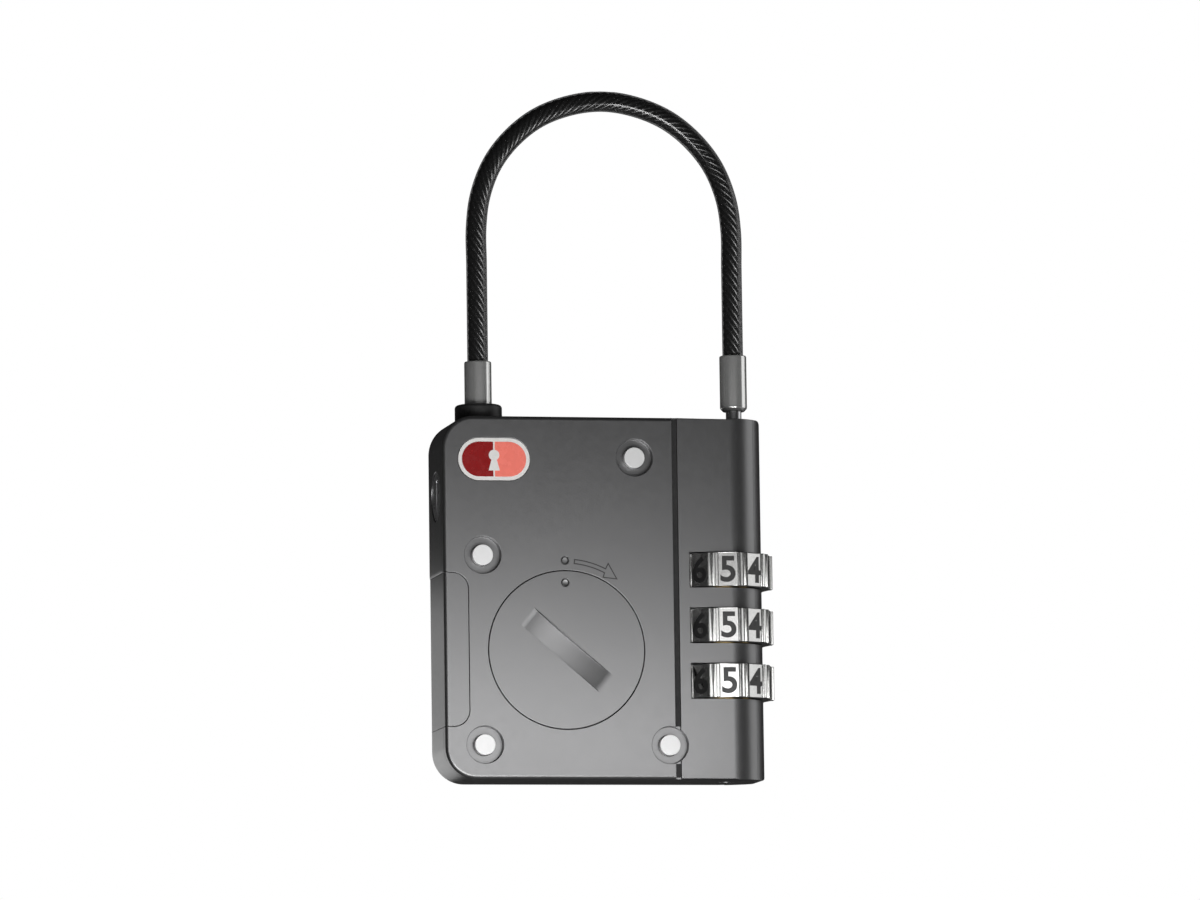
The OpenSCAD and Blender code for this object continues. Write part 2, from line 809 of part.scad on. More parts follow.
back_case();
front_cover();
antenna_window();
badge();
cover_pins();
battery_cap();
cap_seal();
coin_cell();
cell_contact_minus();
cell_contact_plus();
tracker_tray();
tracker_board();
radio_shield();
piezo_buzzer();
antenna_strip();
tracker_screws();
dial(0);  // dial_1
dial(1);  // dial_2
dial(2);  // dial_3
cam_sleeve(0);  // cam_sleeve_1
cam_sleeve(1);  // cam_sleeve_2
cam_sleeve(2);  // cam_sleeve_3
dial_detent();
spindle();
spindle_spring();
clutch_spring();
reset_button();
latch();
latch_spring();
release_slide();
key_cylinder();
key_wafers();
key_cam();
cam_clip();
cylinder_pin();
cable_collar();
anchor_pin();
anchor_ferrule();
plug_pin();
plug_ferrule();
cable_core();
cable_jacket();
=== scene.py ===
"""Cable luggage lock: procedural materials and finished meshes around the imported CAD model."""
import json
import math

import bmesh
import bpy
from mathutils import Matrix, Vector
from mathutils.bvhtree import BVHTree


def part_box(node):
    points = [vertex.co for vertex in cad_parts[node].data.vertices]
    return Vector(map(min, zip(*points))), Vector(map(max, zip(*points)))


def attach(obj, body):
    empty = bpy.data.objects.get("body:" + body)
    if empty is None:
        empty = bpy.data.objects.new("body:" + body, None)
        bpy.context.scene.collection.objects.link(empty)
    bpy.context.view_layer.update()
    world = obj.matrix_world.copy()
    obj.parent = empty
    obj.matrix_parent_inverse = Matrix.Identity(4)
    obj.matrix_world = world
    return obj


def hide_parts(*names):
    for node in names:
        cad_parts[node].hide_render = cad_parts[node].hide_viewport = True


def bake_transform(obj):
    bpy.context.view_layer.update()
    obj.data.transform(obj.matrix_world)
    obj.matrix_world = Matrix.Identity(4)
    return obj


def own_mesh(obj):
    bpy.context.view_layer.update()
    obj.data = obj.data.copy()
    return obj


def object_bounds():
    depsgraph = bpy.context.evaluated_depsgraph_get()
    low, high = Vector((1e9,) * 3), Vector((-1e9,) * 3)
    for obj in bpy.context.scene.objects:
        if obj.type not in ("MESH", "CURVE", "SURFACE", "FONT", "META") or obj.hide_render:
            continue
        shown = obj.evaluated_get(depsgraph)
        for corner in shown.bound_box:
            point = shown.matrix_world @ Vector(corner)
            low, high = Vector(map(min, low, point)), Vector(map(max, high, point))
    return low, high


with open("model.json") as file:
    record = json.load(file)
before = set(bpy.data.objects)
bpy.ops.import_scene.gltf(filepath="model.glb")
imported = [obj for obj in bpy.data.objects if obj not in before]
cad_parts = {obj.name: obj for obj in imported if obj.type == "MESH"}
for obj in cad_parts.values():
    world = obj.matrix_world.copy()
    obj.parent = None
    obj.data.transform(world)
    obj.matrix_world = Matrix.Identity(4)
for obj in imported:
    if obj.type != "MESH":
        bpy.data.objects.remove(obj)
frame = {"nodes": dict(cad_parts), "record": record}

cad_box = [list(corner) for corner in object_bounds()]
MM = 0.001
body_of_node = {n: b for b, ns in frame["record"]["behaviour"]["bodies"].items() for n in ns}
slot_of_node = {s["node"]: s["material_slot"] for s in frame["record"]["subparts"]}

# Places that several pieces share, read from the frame
case_low, case_high = (Vector(c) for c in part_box("back_case"))
front_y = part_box("front_cover")[0][1]
back_y = case_high.y
CASE_CORNER = 4.7 * MM
FACET_RADIUS = 7.32 * MM
DIAL_AIM = math.radians(6)
STOPS = 10
cap_low, cap_high = (Vector(c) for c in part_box("battery_cap"))
cap_middle = (cap_low + cap_high) / 2
dial_nodes = ["dial_1", "dial_2", "dial_3"]
dial_box = [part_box(n) for n in dial_nodes]
dial_x = (dial_box[0][0][0] + dial_box[0][1][0]) / 2


# ---------- camera and cable route ----------

def make_camera():
    """The camera: its place is given by its angles round the lock's middle and small shifts across them."""
    azimuth, elevation, roll = (math.radians(a) for a in (-11.9, -6.59, -0.79))
    distance = 1.2
    aside, above = -0.438 * MM, -0.277 * MM
    back = Vector((math.sin(azimuth) * math.cos(elevation), -math.cos(azimuth) * math.cos(elevation),
                   math.sin(elevation)))
    level = Vector((math.cos(azimuth), math.sin(azimuth), 0))
    rise = back.cross(level)
    right = level * math.cos(roll) + rise * math.sin(roll)
    up = rise * math.cos(roll) - level * math.sin(roll)
    data = bpy.data.cameras.new("camera")
    data.sensor_width = 36
    data.lens = 240.984
    data.clip_start, data.clip_end = 0.01, 20
    camera = bpy.data.objects.new("camera", data)
    bpy.context.scene.collection.objects.link(camera)
    place = Vector((0, 0, 50 * MM)) + right * aside + up * above + back * distance
    camera.matrix_world = Matrix((right, up, back)).transposed().to_4x4()
    camera.location = place
    bpy.context.scene.camera = camera


make_camera()

# Middle line of the cable, in millimetres as X and Z, the same points as in the CAD source
CABLE_ROUTE = [
    (-18.9, 57.0), (-18.9, 62.0), (-18.9, 67.0), (-18.9, 72.0), (-18.9, 77.5), (-18.9, 82.9),
    (-18.2, 87.9), (-16.3, 92.7), (-13.2, 96.7), (-9.2, 99.8), (-4.4, 101.7), (0.6, 102.4),
    (5.6, 101.7), (10.4, 99.8), (14.4, 96.7), (17.5, 92.7), (19.4, 87.9), (20.1, 82.9),
    (20.1, 77.5), (20.1, 72.0), (20.1, 67.0), (20.1, 62.5), (20.1, 58.35),
]


def smooth_route(points, step):
    """Catmull-Rom curve through the points, resampled to even steps."""
    p = [Vector((x * MM, 0, z * MM)) for x, z in points]
    p = [2 * p[0] - p[1]] + p + [2 * p[-1] - p[-2]]
    fine = []
    for a, b, c, d in zip(p, p[1:], p[2:], p[3:]):
        for i in range(24):
            t = i / 24
            fine.append(0.5 * (2 * b + (c - a) * t + (2 * a - 5 * b + 4 * c - d) * t * t
                               + (3 * b - a - 3 * c + d) * t ** 3))
    fine.append(p[-2])
    total = sum((b - a).length for a, b in zip(fine, fine[1:]))
    count = round(total / step)
    even, walked, k = [fine[0]], 0.0, 0
    for i in range(1, count):
        goal = total * i / count
        while walked + (fine[k + 1] - fine[k]).length < goal:
            walked += (fine[k + 1] - fine[k]).length
            k += 1
        even.append(fine[k].lerp(fine[k + 1], (goal - walked) / (fine[k + 1] - fine[k]).length))
    even.append(fine[-1])
    return even, total


def new_object(name, bm):
    mesh = bpy.data.meshes.new(name)
    bm.normal_update()
    bm.to_mesh(mesh)
    bm.free()
    obj = bpy.data.objects.new(name, mesh)
    bpy.context.scene.collection.objects.link(obj)
    return obj


def frame_along(line):
    """A point, its direction and two across it, at each point of a line in the XZ plane."""
    for i, p in enumerate(line):
        way = (line[min(i + 1, len(line) - 1)] - line[max(i - 1, 0)]).normalized()
        yield p, way, Vector((0, 1, 0)), way.cross(Vector((0, 1, 0))).normalized()


def add_tube(bm, rings, closed_ends=True):
    rows = [[bm.verts.new(p) for p in ring] for ring in rings]
    n = len(rows[0])
    for a, b in zip(rows, rows[1:]):
        for k in range(n):
            bm.faces.new((a[k], a[(k + 1) % n], b[(k + 1) % n], b[k])).smooth = True
    if closed_ends:
        bm.faces.new(rows[0][::-1])
        bm.faces.new(rows[-1])


def circle_points(centre, a, b, radius, count, start=0.0):
    return [centre + a * (radius * math.cos(start + math.tau * k / count))
            + b * (radius * math.sin(start + math.tau * k / count)) for k in range(count)]


cable_line, cable_length = smooth_route(CABLE_ROUTE, 0.45 * MM)
CABLE_RADIUS = 1.55 * MM
STRANDS = 8
STRAND_RADIUS = 0.36 * MM
STRAND_CENTRE = 1.02 * MM
LAY_LENGTH = 9.7 * MM


def make_jacket():
    """The clear coating, kept under the top of the CAD model."""
    bm = bmesh.new()
    add_tube(bm, [circle_points(p, a, b, CABLE_RADIUS, 32) for p, _, a, b in frame_along(cable_line)])
    for v in bm.verts:
        v.co.z = min(v.co.z, cad_box[1][2])
    bmesh.ops.recalc_face_normals(bm, faces=bm.faces)
    return new_object("cable_coating", bm)


def make_strands():
    """Strands laid round the middle line, with a core strand inside them."""
    bm = bmesh.new()
    spots = list(frame_along(cable_line))
    for s in range(STRANDS):
        rings = []
        for i, (p, way, a, b) in enumerate(spots):
            turn = math.tau * (s / STRANDS - i * cable_length / (len(spots) - 1) / LAY_LENGTH)
            out = a * math.cos(turn) + b * math.sin(turn)
            side = way.cross(out)
            rings.append(circle_points(p + out * STRAND_CENTRE, out, side, STRAND_RADIUS, 10))
        add_tube(bm, rings)
    add_tube(bm, [circle_points(p, a, b, STRAND_CENTRE - 0.2 * MM, 10) for p, _, a, b in spots])
    bmesh.ops.recalc_face_normals(bm, faces=bm.faces)
    return new_object("cable_strands", bm)


coating = make_jacket()
strands = make_strands()

# ---------- material helpers ----------


class Nodes:
    """A material's node tree, with short calls to add to it."""

    def __init__(self, name):
        self.material = bpy.data.materials.new(name)
        self.material.use_nodes = True
        self.tree = self.material.node_tree
        self.shader = self.tree.nodes["Principled BSDF"]
        self.place = self.add("ShaderNodeTexCoord").outputs["Object"]

    def add(self, kind, links=None, **settings):
        node = self.tree.nodes.new(kind)
        for key, value in settings.items():
            if key in node.bl_rna.properties:
                setattr(node, key, value)
            else:
                node.inputs[key.replace("_", " ")].default_value = value
        for key, source in (links or {}).items():
            self.tree.links.new(source, node.inputs[key])
        return node

    def noise(self, scale, detail=3.0, rough=0.55, place=None):
        return self.add("ShaderNodeTexNoise", {"Vector": place or self.place}, Scale=scale, Detail=detail,
                        Roughness=rough).outputs["Fac"]

    def stretched(self, scale):
        return self.add("ShaderNodeMapping", {"Vector": self.place}, Scale=scale).outputs["Vector"]

    def spread(self, value, low, high, from_low=0.3, from_high=0.7):
        node = self.add("ShaderNodeMapRange", {"Value": value})
        for socket, number in zip(("From Min", "From Max", "To Min", "To Max"),
                                  (from_low, from_high, low, high)):
            node.inputs[socket].default_value = number
        return node.outputs["Result"]

    def ramp(self, value, stops):
        node = self.add("ShaderNodeValToRGB", {"Fac": value})
        element = node.color_ramp.elements
        while len(element) < len(stops):
            element.new(0.5)
        for e, (position, colour) in zip(element, stops):
            e.position = position
            e.color = (*colour, 1)
        return node.outputs["Color"]

    def worn(self, radius=0.22 * MM):
        """Rises from 0 to 1 on the edges of the shape."""
        soft = self.add("ShaderNodeBevel", Radius=radius).outputs["Normal"]
        true = self.add("ShaderNodeNewGeometry").outputs["Normal"]
        match = self.add("ShaderNodeVectorMath", {0: soft, 1: true}, operation="DOT_PRODUCT")
        match = match.outputs["Value"]
        return self.spread(match, 1, 0, 0.8, 0.985)

    def mix(self, fac, a, b):
        node = self.add("ShaderNodeMix", data_type="RGBA")
        for socket, source in (("Factor", fac), ("A", a), ("B", b)):
            slot = next(i for i in node.inputs if i.name == socket and i.enabled)
            if isinstance(source, (tuple, float, int)):
                slot.default_value = source if isinstance(source, (float, int)) else (*source, 1)
            else:
                self.tree.links.new(source, slot)
        return next(o for o in node.outputs if o.enabled)

    def bump(self, height, distance, strength=1.0):
        node = self.add("ShaderNodeBump", {"Height": height}, Distance=distance, Strength=strength)
        self.tree.links.new(node.outputs["Normal"], self.shader.inputs["Normal"])

    def set(self, **values):
        for key, value in values.items():
            socket = self.shader.inputs[key.replace("_", " ")]
            if isinstance(value, bpy.types.NodeSocket):
                self.tree.links.new(value, socket)
            elif isinstance(value, tuple):
                socket.default_value = (*value, 1)
            else:
                socket.default_value = value
        return self.material


def satin_paint(name, colour, metallic, rough, grain=0.01 * MM):
    """Fine-grained metallic coating, rubbed a little brighter along its edges."""
    n = Nodes(name)
    cloud = n.noise(60, 3)
    fine = n.noise(6500, 2)
    shade = n.ramp(cloud, [(0.3, tuple(c * 0.98 for c in colour)), (0.7, tuple(c * 1.02 for c in colour))])
    n.bump(fine, grain, 0.45)
    scuff = n.spread(n.noise(900, 5, 0.7), 0, 0.4, 0.55, 0.8)
    fade = n.add("ShaderNodeMath", {0: n.worn(), 1: scuff}, operation="MULTIPLY").outputs[0]
    return n.set(Base_Color=n.mix(fade, shade, tuple(min(1, c * 1.7) for c in colour)), Metallic=metallic,
                 Roughness=n.spread(n.noise(1300, 4), rough - 0.015, rough + 0.02))


def bare_metal(name, colour, rough, stretch=(1, 1, 1), scale=900, depth=0.004 * MM, wear=0.08,
               metallic=1.0):
    """Machined or drawn metal, with fine marks that run across the stretched axis."""
    n = Nodes(name)
    marks = n.noise(scale, 4, 0.6, n.stretched(stretch))
    tint = n.ramp(n.noise(160, 3), [(0.3, tuple(c * (1 - wear) for c in colour)), (0.7, colour)])
    n.bump(marks, depth, 0.6)
    return n.set(Base_Color=tint, Metallic=metallic, Roughness=n.spread(marks, rough - 0.04, rough + 0.05))


def moulded(name, colour, rough, scale=1500, depth=0.01 * MM):
    """Moulded plastic or rubber with a fine grain."""
    n = Nodes(name)
    grain = n.noise(scale, 3)
    dark, light = (tuple(c * share for c in colour) for share in (0.85, 1.1))
    tint = n.ramp(n.noise(130, 3), [(0.3, dark), (0.7, light)])
    n.bump(grain, depth, 0.5)
    return n.set(Base_Color=tint, Roughness=n.spread(grain, rough - 0.06, rough + 0.08))


def enamel(name, colour, rough=0.25):
    """Filled-in paint or enamel, a little uneven, under a thin gloss."""
    n = Nodes(name)
    tint = n.ramp(n.noise(900, 3), [(0.3, tuple(c * 0.93 for c in colour)), (0.7, colour)])
    n.bump(n.noise(1800, 2), 0.004 * MM, 0.4)
    return n.set(Base_Color=tint, Roughness=n.spread(n.noise(800, 3), rough - 0.05, rough + 0.08),
                 Coat_Weight=0.4, Coat_Roughness=0.12)


def rope_wire(name):
    """Steel strands whose single wires show as light and dark streaks."""
    n = Nodes(name)
    wires = n.noise(2600, 3, 0.6)
    tint = n.ramp(wires, [(0.3, (0.1, 0.1, 0.1)), (0.6, (0.3, 0.3, 0.3)), (0.75, (0.6, 0.6, 0.6))])
    n.bump(wires, 0.02 * MM, 0.6)
    return n.set(Base_Color=tint, Metallic=0.95, Roughness=n.spread(wires, 0.24, 0.4))


def clear_coating(name):
    """Thin clear vinyl: mostly see-through, with a gloss that grows at glancing angles."""
    n = Nodes(name)
    n.bump(n.noise(600, 2), 0.006 * MM, 0.3)
    facing = n.add("ShaderNodeLayerWeight", Blend=0.25).outputs["Fresnel"]
    return n.set(Base_Color=(0.02, 0.02, 0.02), Roughness=n.spread(n.noise(500, 2), 0.07, 0.12),
                 Alpha=n.spread(facing, 0.42, 0.85, 0.0, 1.0), IOR=1.5, Specular_IOR_Level=1.0)


MATERIAL = {
    "painted_zinc": satin_paint("painted_zinc", (0.2, 0.2, 0.202), 0.92, 0.34),
    "window_plastic": satin_paint("window_plastic", (0.195, 0.195, 0.197), 0.91, 0.35),
    "pin_steel": bare_metal("pin_steel", (0.74, 0.74, 0.74), 0.5, (1, 1, 1), 2600, 0.003 * MM, 0.04, 0.45),
    "dial_chrome": bare_metal("dial_chrome", (0.7, 0.7, 0.69), 0.22, (1, 1, 1), 2400, 0.0004 * MM, 0.03),
    "brass": bare_metal("brass", (0.7, 0.5, 0.22), 0.3),
    "steel": bare_metal("steel", (0.6, 0.6, 0.61), 0.3, (0.2, 1, 1)),
    "spring_steel": bare_metal("spring_steel", (0.5, 0.5, 0.51), 0.28),
    "ferrule_nickel": bare_metal("ferrule_nickel", (0.76, 0.76, 0.75), 0.2, (1, 1, 0.1), 500, 0.0004 * MM,
                                 0.05, 0.8),
    "collar_plastic": moulded("collar_plastic", (0.018, 0.018, 0.018), 0.42),
    "seal_rubber": moulded("seal_rubber", (0.012, 0.012, 0.012), 0.7),
    "tray_plastic": moulded("tray_plastic", (0.02, 0.02, 0.022), 0.5),
    "board": moulded("board", (0.012, 0.11, 0.04), 0.35),
    "flex": moulded("flex", (0.5, 0.2, 0.03), 0.3),
    "wire_rope": rope_wire("wire_rope"),
    "cable_jacket": clear_coating("cable_jacket"),
    "badge_enamel": enamel("badge_rim", (0.8, 0.79, 0.77)),
}
# Places on the front, in millimetres: the index marks, the groove's sides, and where a pin crosses the groove
MARK_X, MARK_HEIGHTS = -7.2, (32.5, 29.2)
GROOVE_X = (9.27, 10.03)
PIN_GAP = (2.3, 7.9)
BLACK_FILL = enamel("black_fill", (0.006, 0.006, 0.006), 0.45)
LINE_FILL = enamel("line_fill", (0.02, 0.02, 0.02), 0.5)
# Near-black material for the painted shade in the groove: a dark sheet where there is only shadow.
PAINTED_GROOVE_SHADE = moulded("painted_groove_shade", (0.01, 0.01, 0.01), 0.7)
RED = enamel("badge_red", (0.26, 0.003, 0.004))
CORAL = enamel("badge_coral", (0.95, 0.22, 0.17))


def dress(obj, slot, body, material=None, nodes=()):
    """Gives a piece its material (the slot's own unless one is passed) and body, and hides the CAD nodes it
    stands for.
    """
    obj.data.materials.clear()
    obj.data.materials.append(material or MATERIAL[slot])
    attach(obj, body)
    if nodes:
        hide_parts(*nodes)
    return obj


# ---------- finished copies of CAD nodes, with rounded edges ----------

def outer_edge(p):
    """Whether a point lies on the case's outside corner line, seen from the front."""
    low, high = case_low, case_high
    if p.x > dial_x - 0.5 * MM:
        return False
    near_side = min(abs(p.x - low.x), abs(p.z - low.z), abs(p.z - high.z)) < 0.03 * MM
    middle_z = (low.z + high.z) / 2
    for z in (low.z + CASE_CORNER, high.z - CASE_CORNER):
        d = Vector((p.x - low.x - CASE_CORNER, p.z - z))
        near_side |= d.x < 0 and (d.y < 0) == (z < middle_z) and abs(d.length - CASE_CORNER) < 0.04 * MM
    return near_side


def case_weight(p):
    """The share of the full rounding an edge gets: none where the round end closes."""
    if p.x > case_high.x - 1.4 * MM and min(p.z - case_low.z, case_high.z - p.z) < 0.8 * MM:
        return 0.0
    on_face = abs(abs(p.y) - back_y) < 0.02 * MM
    return 1.0 if outer_edge(p) and on_face else 0.13


def finished(node, width, weight=None, segments=2):
    """A copy of a CAD node with its sharp edges rounded. Rounding that strays off the surface is put back."""
    source = frame["nodes"][node]
    bm = bmesh.new()
    bm.from_mesh(source.data)
    bmesh.ops.remove_doubles(bm, verts=bm.verts, dist=0.002 * MM)
    bmesh.ops.dissolve_limit(bm, angle_limit=math.radians(0.4), verts=bm.verts, edges=bm.edges)
    surface = BVHTree.FromBMesh(bm)
    layer = bm.edges.layers.float.new("bevel_weight_edge")
    for edge in bm.edges:
        sharp = len(edge.link_faces) == 2 and edge.calc_face_angle(0) > math.radians(28)
        middle = (edge.verts[0].co + edge.verts[1].co) / 2
        edge[layer] = (weight(middle) if weight else 1.0) if sharp else 0.0
    obj = new_object(node + "_finished", bm)
    obj.matrix_world = source.matrix_world
    bevel = obj.modifiers.new("bevel", "BEVEL")
    bevel.width = width
    bevel.segments = segments
    bevel.limit_method = "WEIGHT"
    bevel.use_clamp_overlap = False
    bevel.miter_outer = "MITER_ARC"
    bake(obj)
    for v in obj.data.vertices:
        nearest, _, _, distance = surface.find_nearest(v.co)
        if distance > 0.5 * width:
            v.co = nearest
    settle(obj)
    return dress(obj, slot_of_node[node], body_of_node[node], nodes=(node,))


def settle(obj, angle=34):
    """Applies the modifiers, then smooths all but the sharp edges with flat faces kept flat."""
    bake(obj)
    for face in obj.data.polygons:
        face.use_smooth = True
    obj.data.set_sharp_from_angle(angle=math.radians(angle))
    obj.modifiers.new("normals", "WEIGHTED_NORMAL").keep_sharp = True
    bake(obj)


def bake(obj):
    """Applies the modifiers."""
    bpy.context.view_layer.update()
    graph = bpy.context.evaluated_depsgraph_get()
    mesh = bpy.data.meshes.new_from_object(obj.evaluated_get(graph), preserve_all_data_layers=True,
                                           depsgraph=graph)
    obj.modifiers.clear()
    obj.data = mesh


for node in ("front_cover", "back_case", "antenna_window"):
    finished(node, 0.6 * MM, case_weight, 4)
for node, width in (("battery_cap", 0.07), ("cover_pins", 0.08), ("anchor_ferrule", 0.12),
                    ("plug_ferrule", 0.12), ("plug_pin", 0.06), ("cable_collar", 0.2), ("key_cylinder", 0.1),
                    ("reset_button", 0.06)):
    finished(node, width * MM)

def make_clutch_spring():
    """A finished copy of the clutch spring, given a mesh of its own."""
    spring = finished("clutch_spring", 0.02 * MM)
    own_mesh(spring)


make_clutch_spring()
for node, obj in frame["nodes"].items():
    obj.data.materials.clear()
    obj.data.materials.append(MATERIAL[slot_of_node[node]])

# ---------- cable ----------

for piece, node in ((coating, "cable_jacket"), (strands, "cable_core")):
    slot = slot_of_node[node]
    piece.data.materials.append(MATERIAL[slot])
    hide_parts(node)
    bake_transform(piece)

# ---------- dials with digits ----------

FACET_DEPTH = FACET_RADIUS * math.cos(math.pi / STOPS)
DIGIT_HEIGHT = 3.9 * MM
DIGIT_DEPTH = 0.12 * MM
DIGIT_STANDS = 0.02 * MM


def digit_mesh(text, height, depth):
    """A digit as a solid in the XZ plane, standing from y = 0 to y = depth."""
    curve = bpy.data.curves.new("digit", "FONT")
    curve.body = text
    curve.align_x = "CENTER"
    curve.align_y = "CENTER"
    curve.offset = 0.022
    curve.extrude = 0.5
    temp = bpy.data.objects.new("digit", curve)
    bpy.context.scene.collection.objects.link(temp)
    bpy.context.view_layer.update()
    mesh = bpy.data.meshes.new_from_object(temp.evaluated_get(bpy.context.evaluated_depsgraph_get()))
    bpy.data.objects.remove(temp)
    bpy.data.curves.remove(curve)
    xs, ys = [v.co.x for v in mesh.vertices], [v.co.y for v in mesh.vertices]
    grow = height / (max(ys) - min(ys))
    mid = (max(xs) + min(xs)) / 2, (max(ys) + min(ys)) / 2
    for v in mesh.vertices:
        x, y, z = v.co
        v.co = ((x - mid[0]) * grow, depth * (0.5 - z), (y - mid[1]) * grow)
    return mesh


def make_dials():
    """A ring of raised digits on each dial, with the 5 at the front."""
    bm = bmesh.new()
    for stop in range(STOPS):
        mesh = digit_mesh(str((5 - stop) % STOPS), DIGIT_HEIGHT, DIGIT_DEPTH)
        turn = Matrix.Rotation(math.tau * stop / STOPS - DIAL_AIM, 4, "Z")
        turn = turn @ Matrix.Translation((0, -FACET_DEPTH - DIGIT_STANDS, 0))
        mesh.transform(turn)
        bm.from_mesh(mesh)
        bpy.data.meshes.remove(mesh)
    bmesh.ops.remove_doubles(bm, verts=bm.verts, dist=0.001 * MM)
    bmesh.ops.recalc_face_normals(bm, faces=bm.faces)
    base = bpy.data.meshes.new("digits")
    bm.to_mesh(base)
    bm.free()
    for n, node in enumerate(dial_nodes):
        low, high = dial_box[n]
        body = body_of_node[node]
        finished(node, 0.09 * MM)
        digits = bpy.data.objects.new(f"digits_{n + 1}", base.copy())
        digits.data.transform(Matrix.Translation((dial_x, 0, (low[2] + high[2]) / 2)))
        bpy.context.scene.collection.objects.link(digits)
        dress(digits, "dial_chrome", body, BLACK_FILL)


make_dials()

# ---------- badge, marks ----------

def thicken(bm, faces, depth):
    """Makes flat faces into a closed solid that reaches depth further along Y."""
    solid = bmesh.ops.extrude_face_region(bm, geom=faces)
    far = [v for v in solid["geom"] if isinstance(v, bmesh.types.BMVert)]
    bmesh.ops.translate(bm, vec=(0, depth, 0), verts=far)
    bmesh.ops.recalc_face_normals(bm, faces=bm.faces)


def face_plate(name, outline, front, back):
    """A flat plate in the XZ plane from an outline of (x, z) points in metres."""
    bm = bmesh.new()
    face = bm.faces.new([bm.verts.new((x, front, z)) for x, z in outline])
    thicken(bm, [face], back - front)
    return new_object(name, bm)


def stadium(middle, half_height, reach, steps=20):
    """The outline of a bar with round ends; reach is from the middle to each end's centre."""
    points = []
    for side, base in ((1, -math.pi / 2), (-1, math.pi / 2)):
        for k in range(steps + 1):
            a = base + math.pi * k / steps
            points.append((middle[0] + side * reach + half_height * math.cos(a),
                           middle[1] + half_height * math.sin(a)))
    return points


def make_badge():
    """A white-rimmed badge in two reds, with a white keyhole in the middle."""
    low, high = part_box("badge")
    middle = ((low[0] + high[0]) / 2, (low[2] + high[2]) / 2)
    half = (high[2] - low[2]) / 2
    reach = (high[0] - low[0]) / 2 - half
    top = low[1]
    field_half = half - 0.55 * MM
    rim = face_plate("badge_rim", stadium(middle, half, reach), top, high[1])
    dress(rim, "badge_enamel", "case", nodes=("badge",))
    for side, name, material in ((1, "badge_field_right", CORAL), (-1, "badge_field_left", RED)):
        field = [(middle[0] + side * 0.12 * MM, middle[1] - field_half)]
        for k in range(21):
            a = math.pi * (k / 20 - 0.5)
            field.append((middle[0] + side * (reach + field_half * math.cos(a)),
                          middle[1] + field_half * math.sin(a)))
        field.append((field[0][0], middle[1] + field_half))
        dress(face_plate(name, field, top - 0.03 * MM, top + 0.1 * MM), "badge_enamel", "case", material)
    hole = []
    hole_radius, hole_rise, foot_half, foot_drop = 0.8 * MM, 0.6 * MM, 0.85 * MM, 1.7 * MM
    for k in range(25):
        a = math.radians(-60 + 300 * k / 24)
        hole.append((middle[0] + hole_radius * math.cos(a),
                     middle[1] + hole_rise + hole_radius * math.sin(a)))
    hole += [(middle[0] + side * foot_half, middle[1] - foot_drop) for side in (-1, 1)]
    dress(face_plate("badge_keyhole", hole, top - 0.06 * MM, top + 0.1 * MM), "badge_enamel", "case")


make_badge()


def clockwise(radius, degrees):
    """A place on the cover: millimetres from the cap's middle and degrees clockwise from straight up."""
    a = math.radians(degrees)
    return cap_middle.x + radius * MM * math.sin(a), cap_middle.z + radius * MM * math.cos(a)


def make_arrow():
    """The outline arrow on the cover that shows which way the cap opens."""
    outline = [clockwise(13.5, 5.7 + 20.8 * k / 10) for k in range(11)]
    outline += [clockwise(14.4, 26.5), clockwise(13.1, 36.0), clockwise(12.2, 27.5)]
    outline += [clockwise(12.9, 27.0 - 21.3 * k / 10) for k in range(11)]
    half = 0.09 * MM
    bm = bmesh.new()
    n = len(outline)
    pairs = []
    for i in range(n):
        before, here, after = (Vector(outline[(i + k) % n]) for k in (-1, 0, 1))
        a, b = (here - before).normalized(), (after - here).normalized()
        normal = Vector((-(a + b).y, (a + b).x)).normalized()
        normal /= max(0.5, normal.dot(Vector((-a.y, a.x))))
        edges = (here - normal * half, here + normal * half)
        pairs.append([bm.verts.new((p.x, front_y - 0.01 * MM, p.y)) for p in edges])
    faces = []
    for a, b in zip(pairs, pairs[1:] + pairs[:1]):
        faces.append(bm.faces.new((a[0], b[0], b[1], a[1])))
    thicken(bm, faces, 0.05 * MM)
    dress(new_object("opening_arrow", bm), "painted_zinc", "case", LINE_FILL)


make_arrow()


def make_marks():
    """Dark rings round the two index marks, and dark strips of painted shade at the bottom of the groove."""
    marks = (("index_mark_case", MARK_HEIGHTS[0], "case"), ("index_mark_cap", MARK_HEIGHTS[1], "cap"))
    for name, z, body in marks:
        bm = bmesh.new()
        rings = []
        for radius, y in ((0.42, 0.1), (0.42, 0.02), (0.58, 0.02), (0.58, 0.1)):
            middle = Vector((MARK_X * MM, front_y + y * MM, z * MM))
            rings.append(circle_points(middle, Vector((1, 0, 0)), Vector((0, 0, 1)), radius * MM, 32))
        add_tube(bm, rings + rings[:1], closed_ends=False)
        bmesh.ops.remove_doubles(bm, verts=bm.verts, dist=0.001 * MM)
        bmesh.ops.recalc_face_normals(bm, faces=bm.faces)
        dress(new_object(name, bm), "painted_zinc", body, LINE_FILL)
    # Two dark strips of painted shade lie on the groove's floor, broken where a pin crosses the groove.
    inset = 0.3 * MM
    runs = (("low", case_low.z + inset, PIN_GAP[0] * MM), ("high", PIN_GAP[1] * MM, case_high.z - inset))
    x0, x1 = (x * MM for x in GROOVE_X)
    for run, z0, z1 in runs:
        outline = [(x0, z0), (x1, z0), (x1, z1), (x0, z1)]
        shadow = face_plate(f"painted_groove_shadow_{run}", outline, front_y + 0.3 * MM, front_y + 0.49 * MM)
        dress(shadow, "painted_zinc", "case", PAINTED_GROOVE_SHADE)


make_marks()

# ---------- floor and light ----------

def seen_by_camera(tree):
    """1 for what the camera sees, 0 for light that reaches the lock."""
    return tree.nodes.new("ShaderNodeLightPath").outputs["Is Camera Ray"]


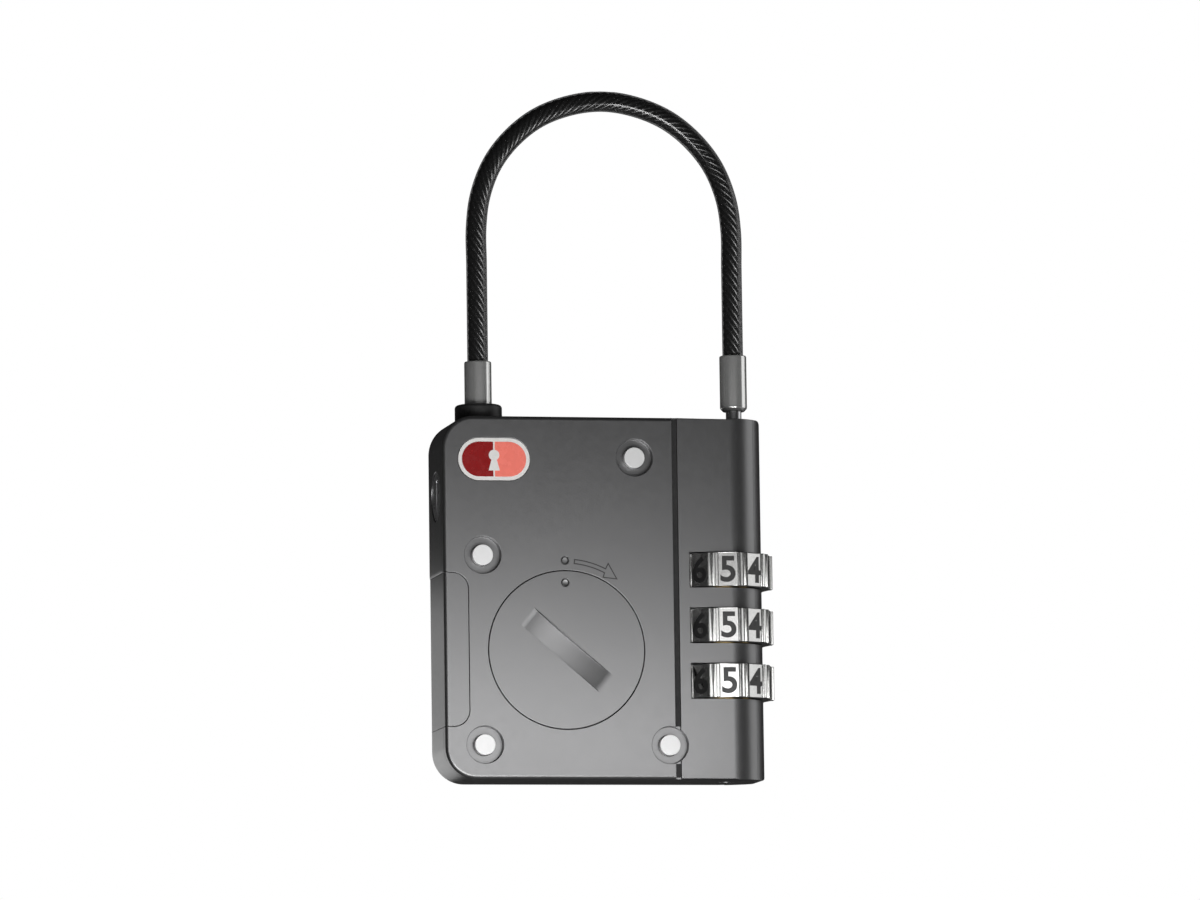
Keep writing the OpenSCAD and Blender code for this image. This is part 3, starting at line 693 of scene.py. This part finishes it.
def make_floor():
    """A pale floor below the lock, lower than the camera's view reaches."""
    bm = bmesh.new()
    bmesh.ops.create_grid(bm, x_segments=1, y_segments=1, size=4)
    bmesh.ops.translate(bm, vec=(0, 0, -0.16), verts=bm.verts)
    floor = new_object("floor", bm)
    n = Nodes("floor")
    glow = n.spread(seen_by_camera(n.tree), 0.0, 0.9, 0.0, 1.0)
    floor.data.materials.append(n.set(Base_Color=(0.6, 0.6, 0.6), Roughness=0.8, Emission_Color=(1, 1, 1),
                                      Emission_Strength=glow))


def area_light(name, place, target, size, radiance, tall):
    """A panel at a place, facing a target, whose power is worked out from its brightness and size."""
    data = bpy.data.lights.new(name, "AREA")
    data.shape = "RECTANGLE"
    data.size, data.size_y = size, tall
    data.energy = 4 * radiance * size * tall
    light = bpy.data.objects.new(name, data)
    bpy.context.scene.collection.objects.link(light)
    light.location = place
    light.rotation_euler = (Vector(target) - Vector(place)).to_track_quat("-Z", "Y").to_euler()


def make_world():
    """White behind the lock, and only a faint even light on it."""
    world = bpy.data.worlds.new("world")
    world.use_nodes = True
    bpy.context.scene.world = world
    tree = world.node_tree
    shade = tree.nodes["Background"]
    seen = seen_by_camera(tree)
    strength = tree.nodes.new("ShaderNodeMapRange")
    strength.inputs["To Min"].default_value = 0.03
    strength.inputs["To Max"].default_value = 1.0
    tree.links.new(seen, strength.inputs["Value"])
    tree.links.new(strength.outputs["Result"], shade.inputs["Strength"])
    shade.inputs["Color"].default_value = (1, 1, 1, 1)


make_floor()
make_world()
for low, high, radiance in ((0, 20, 2.8), (20, 35, 0.95), (35, 50, 0.32), (50, 75, 0.06)):
    middle, tall = (low + high) / 2 * MM, (high - low) * MM
    area_light(f"front_{low}", (-0.0185, -0.1, middle), (-0.0185, 0.0, middle), 0.133, radiance, tall)
for low, high, radiance in ((-40, 14, 0.85), (14, 40, 0.5)):
    middle, tall = (low + high) / 2 * MM, (high - low) * MM
    area_light(f"left_back_{low}", (-0.06, 0.12, middle), (-0.06, 0.0, middle), 0.08, radiance, tall)
area_light("key", (-0.05, -0.3, -0.12), (0, 0, 0.03), 0.24, 7.0, 0.12)
area_light("right_panel", (0.45, -0.03, 0.08), (0, 0, 0.04), 0.3, 0.85, 0.4)
bpy.context.scene.view_settings.view_transform = "Standard"
